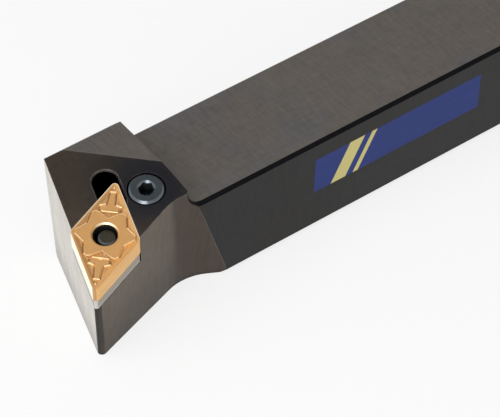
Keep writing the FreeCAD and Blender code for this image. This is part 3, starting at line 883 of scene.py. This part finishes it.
def coated_carbide(sizes):
    """Gold coating with painted highlights on its ridges, back edges and hole lip, a painted
    reflection on its end flank, painted shade in its valleys, groove and hole, and slopes painted
    lighter and darker by the way they face.
    """
    gold = Finish("coated_carbide", {"IOR": 1.5, "Specular IOR Level": 0.5})
    rim = gold.kept_value("rim_distance")
    dark = gold.kept_value("valley_dark")
    shine = gold.kept_value("ridge_shine")
    up = gold.facing(SQUARE, 0.3, 0.8)
    depth = (SQUARE.dot(SEAT_CORNER) - gold.measured(SQUARE)) / MM
    centre = SEAT_CORNER + ALONG * insert_reach(sizes)
    along = gold.measured(ALONG) - ALONG.dot(centre)
    across = gold.measured(ACROSS) - ACROSS.dot(centre)
    from_axis = (along * along + across * across).root()
    wall = sizes.hole / 2
    in_hole = (1 - from_axis.ramp(wall + 0.00004, wall + 0.00012)) * (1 - up)
    mottle = gold.noise(0.0022, 4.0, 0.65)
    fine = gold.noise(0.00035, 3.0, 0.6)

    low = depth.ramp(-0.02, 0.26) * (1 - depth.ramp(0.6, 1.0))
    # Painted shade: the coating is painted darker low in the groove
    body = gold.mix(sizes.coat, sizes.coat_low, low * 0.4)
    # Painted shade in the narrow valleys
    body = gold.mix(body, sizes.valley, dark.ramp(0.10, 0.80) * 0.75)
    # Painted light and shade: slopes are painted lighter where they tilt away from the near flank
    # and darker where they tilt towards it
    inward = 1 - gold.measured(SIDE_OUT, gold.facing_way).ramp(-0.40, 0.40)
    body = gold.shade(body, 1 + (0.44 * inward - 0.22) * up)
    # Painted highlight along the ridges
    body = gold.mix(body, sizes.ridge_highlight, shine.ramp(0.25, 0.85) * 0.80)
    flank_ways = (SQUARE, FLANK_FACE, FLANK_FACE.cross(SQUARE))
    grind = gold.streaks(flank_ways, (0.0003, 0.004, 0.006), 2.0, 0.5)
    flank = gold.shade(sizes.flank, 0.75 + 0.5 * grind)
    body = gold.mix(body, flank, gold.facing(SIDE_OUT, 0.6, 0.9))
    body = gold.shade(body, 0.84 + 0.24 * mottle + 0.08 * fine)

    mouth = mouth_radius(sizes)
    # Painted highlight on the hole's chamfer where it faces the nose
    lip = gold.facing((SQUARE - ALONG).normalized(), 0.72, 0.96)
    lip = lip * (1 - from_axis.ramp(mouth, mouth + 0.00006))
    body = gold.mix(body, sizes.lip, lip * 0.8)
    # Painted highlight along the back half of the cutting edge
    edge = (1 - rim.ramp(0.14, 0.26)) * up * gold.noise(0.0008, 3.0, 0.7).ramp(0.20, 0.40)
    body = gold.mix(body, sizes.edge, edge * along.ramp(-0.002, 0.002) * 0.85)
    # Painted reflection: the end flank is painted pale cream
    body = gold.mix(body, sizes.end_flank, gold.facing(END_FACE, 0.90, 0.97))
    # Painted shade: the hole's wall is painted near black
    body = gold.mix(body, sizes.hole_wall, in_hole)
    gold.show("Base Color", body)
    gold.show("Metallic", (0.26 - 0.08 * low) * (1 - in_hole) * (1 - 0.8 * dark))
    gold.show("Roughness", 0.30 + 0.14 * mottle + 0.22 * low + 0.20 * dark)
    relief = fine * 0.5 + grind * (1 - up) * 0.6
    gold.show("Normal", gold.bump(relief, 0.00002, 0.35))
    return gold.material


def shim_highlights(carbide):
    """Where the shim gets painted highlights: round its nose and along its lower edge."""
    foot = min(point.co.dot(SQUARE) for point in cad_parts["shim"].data.vertices)
    lower = 1 - carbide.measured(SQUARE).ramp(foot + 0.00020, foot + 0.00065)
    broken = carbide.noise(0.0016, 3.0, 0.6).ramp(0.25, 0.50)
    return (lower * broken).at_least(carbide.facing(-ALONG, 0.60, 0.90))


def plain_steel(name, tint, edge_tint, metallic, roughness, mark_sizes, shade_reach, rubbed=None):
    """Turned, drawn or ground metal, brighter on its chamfers as rubbed steel and painted sheen,
    and painted black as shade in its holes and corners.
    """
    steel = Finish(name, {"IOR": 1.5, "Specular IOR Level": 0.2})
    mottle = steel.noise(0.0035, 4.0, 0.6)
    marks = steel.streaks(SEAT_WAYS, mark_sizes, 3.0, 0.6)
    fine = steel.noise(0.0003, 3.0, 0.6)
    facing = steel.measured(SQUARE, steel.facing_way)
    # The chamfers are painted lighter: rubbed steel and painted sheen
    chamfer = facing.ramp(0.25, 0.45) * (1 - facing.ramp(0.93, 0.98))
    body = steel.mix(tint, edge_tint, chamfer)
    body = steel.shade(body, 0.68 + 0.4 * mottle + 0.24 * marks)
    body = steel.mix(body, edge_tint, fine.ramp(0.60, 0.72) * 0.18)
    # Painted highlights, on the shim round its nose and along its lower edge
    if rubbed:
        body = steel.mix(body, edge_tint, rubbed(steel) * 0.85)
    # Painted shade: holes and corners are painted black where occlusion finds them
    clear = steel.open_air(shade_reach).ramp(0.22, 0.62)
    steel.show("Base Color", steel.shade(body, 0.02 + 0.98 * clear))
    steel.show("Metallic", 1 - (1 - metallic) * clear)
    rough = roughness + 0.16 * (mottle - 0.5) + 0.08 * (marks - 0.5)
    steel.show("Roughness", rough - 0.08 * chamfer)
    steel.show("Normal", steel.bump(marks * 0.6 + fine * 0.4, 0.000015, 0.4))
    return steel.material


class TOOLHOLDER_OT_holder(bpy.types.Operator):
    """Finishes the holder's body"""
    bl_idname = "toolholder.holder"
    bl_label = "Holder body"

    def execute(self, context):
        dress_node("holder_body", holder_steel(context.scene.holder_finish))
        return {"FINISHED"}


class TOOLHOLDER_OT_shim(bpy.types.Operator):
    """Finishes the carbide shim and the sleeve that pins it"""
    bl_idname = "toolholder.shim"
    bl_label = "Shim and sleeve"

    def execute(self, context):
        insert, clamp = context.scene.holder_insert, context.scene.holder_clamp
        dress_node("shim", plain_steel(
            "bare_carbide", insert.carbide, insert.carbide_edge, metallic=0.3, roughness=0.42,
            mark_sizes=(0.00015, 0.00015, 0.002), shade_reach=0.0025, rubbed=shim_highlights))
        dress_node("shim_sleeve", plain_steel(
            "sleeve_steel", clamp.sleeve, clamp.sleeve_edge, metallic=0.7, roughness=0.35,
            mark_sizes=(0.002, 0.002, 0.00015), shade_reach=0.0025))
        return {"FINISHED"}


class TOOLHOLDER_OT_clamp(bpy.types.Operator):
    """Finishes the lever and the clamp screw"""
    bl_idname = "toolholder.clamp"
    bl_label = "Lever and screw"

    def execute(self, context):
        clamp = context.scene.holder_clamp
        turned_marks = (0.0015, 0.0015, 0.0002)
        dress_node("clamp_lever", plain_steel(
            "lever_steel", clamp.lever, clamp.lever_edge, metallic=0.5, roughness=0.34,
            mark_sizes=turned_marks, shade_reach=0.0008))
        dress_node("clamp_screw", plain_steel(
            "screw_steel", clamp.screw, clamp.screw_edge, metallic=0.5, roughness=0.28,
            mark_sizes=turned_marks, shade_reach=0.0025))
        return {"FINISHED"}


# Stage

def looking_back(azimuth, elevation):
    """Unit vector from the aim to something at a turn and a height."""
    return Vector((
        math.sin(azimuth) * math.cos(elevation),
        -math.cos(azimuth) * math.cos(elevation),
        math.sin(elevation)))


class TOOLHOLDER_OT_stage(bpy.types.Operator):
    """Sets up the camera, the pale floor, the even light and the lamps"""
    bl_idname = "toolholder.stage"
    bl_label = "Stage"

    def execute(self, context):
        stage = context.scene.holder_stage
        context.scene.view_settings.view_transform = "Standard"
        self.camera(context, stage)
        self.floor(stage)
        self.world(context, stage)
        self.lamp("key_lamp", stage, stage.key, angles=(-78.0, 52.0), distance=0.90, width=1.00)
        self.lamp("side_lamp", stage, stage.side, angles=(-60.0, 25.0), distance=0.80, width=0.50)
        glint = self.lamp(
            "glint_lamp", stage, stage.glint, angles=(-49.3, 23.5), distance=0.80, width=0.40)
        glint.visible_diffuse = False
        return {"FINISHED"}

    def camera(self, context, stage):
        clear_selection()
        back = looking_back(stage.azimuth, stage.elevation)
        level = TOP_FACE.cross(back).normalized()
        rise = back.cross(level)
        turn_cos, turn_sin = math.cos(stage.roll), math.sin(stage.roll)
        right = level * turn_cos + rise * turn_sin
        up = rise * turn_cos - level * turn_sin
        bpy.ops.object.camera_add()
        camera = started("photo_camera")
        camera.matrix_world = turned_to(
            right, up, back, Vector(stage.aim) + back * stage.distance)
        camera.data.sensor_width = 36.0
        camera.data.lens = stage.lens
        camera.data.clip_start = 0.01
        camera.data.clip_end = 20.0
        context.scene.camera = camera

    def floor(self, stage):
        clear_selection()
        bpy.ops.mesh.primitive_plane_add(size=stage.floor, location=(0, 0, -stage.floor_gap))
        floor = started("paper_floor")
        bpy.ops.object.transform_apply(location=True, rotation=True, scale=True)
        paper = Finish("floor_paper", {"Roughness": 0.9, "Specular IOR Level": 0.1})
        tone = 0.985 + 0.03 * (paper.noise(0.004, 3.0) - 0.5)
        paper.show("Base Color", paper.shade(stage.paper, tone))
        glow = paper.node("ShaderNodeEmission", None, {"Color": (1, 1, 1, 1), "Strength": 1.0})
        lit = Reading(paper, paper.shader.outputs[0])
        mixed = paper.node(
            "ShaderNodeMixShader", None,
            {0: paper.seen_directly() * stage.glow, 1: lit, 2: glow})
        paper.feed(paper.tree.nodes["Material Output"].inputs["Surface"], mixed)
        dress(floor, paper.material)

    def world(self, context, stage):
        """Even light on the object, and plain white where the world itself is seen."""
        world = bpy.data.worlds.new("even_light")
        context.scene.world = world
        world.use_nodes = True
        sky = NodeSheet(world.node_tree)
        light = sky.tree.nodes["Background"]
        light.inputs["Color"].default_value = (1, 1, 1, 1)
        strength = sky.node(
            "ShaderNodeMapRange", None, {0: sky.seen_directly(), 3: stage.ambient, 4: 1.0})
        sky.feed(light.inputs["Strength"], strength)

    def lamp(self, name, stage, energy, angles, distance, width):
        """A round lamp that faces the aim, at a turn and a height in degrees."""
        clear_selection()
        back = looking_back(*(math.radians(degrees) for degrees in angles))
        bpy.ops.object.light_add(type="AREA")
        lamp = started(name)
        lamp.data.shape = "DISK"
        lamp.data.size = width
        lamp.data.energy = energy
        spot = Vector(stage.aim) + back * distance
        turn = back.to_track_quat("Z", "Y").to_matrix().to_4x4()
        lamp.matrix_world = Matrix.Translation(spot) @ turn
        return lamp


# Panel in the sidebar

OPERATORS = (
    TOOLHOLDER_OT_holder,
    TOOLHOLDER_OT_insert,
    TOOLHOLDER_OT_shim,
    TOOLHOLDER_OT_clamp,
    TOOLHOLDER_OT_stage,
)

GROUPS = {
    "holder_finish": HolderFinish,
    "holder_insert": InsertSizes,
    "holder_clamp": ClampFinish,
    "holder_stage": StageSizes,
}


class TOOLHOLDER_PT_sidebar(bpy.types.Panel):
    """Lists the tool holder's sizes, colours and pieces"""
    bl_idname = "TOOLHOLDER_PT_sidebar"
    bl_label = "Tool holder"
    bl_space_type = "VIEW_3D"
    bl_region_type = "UI"
    bl_category = "Tool holder"

    def draw(self, context):
        for operator in OPERATORS:
            self.layout.operator(operator.bl_idname)
        for group_name in GROUPS:
            group = getattr(context.scene, group_name)
            box = self.layout.box()
            for prop in group.bl_rna.properties:
                if prop.identifier not in ("rna_type", "name"):
                    box.prop(group, prop.identifier)


def register():
    for group_name, group in GROUPS.items():
        bpy.utils.register_class(group)
        setattr(bpy.types.Scene, group_name, bpy.props.PointerProperty(type=group))
    for tool in OPERATORS + (TOOLHOLDER_PT_sidebar,):
        bpy.utils.register_class(tool)


def unregister():
    for tool in (TOOLHOLDER_PT_sidebar,) + OPERATORS[::-1]:
        bpy.utils.unregister_class(tool)
    for group_name, group in GROUPS.items():
        delattr(bpy.types.Scene, group_name)
        bpy.utils.unregister_class(group)


def main():
    register()
    for operator in OPERATORS:
        family, name = operator.bl_idname.split(".")
        getattr(getattr(bpy.ops, family), name)()


if __name__ == "__main__":
    main()
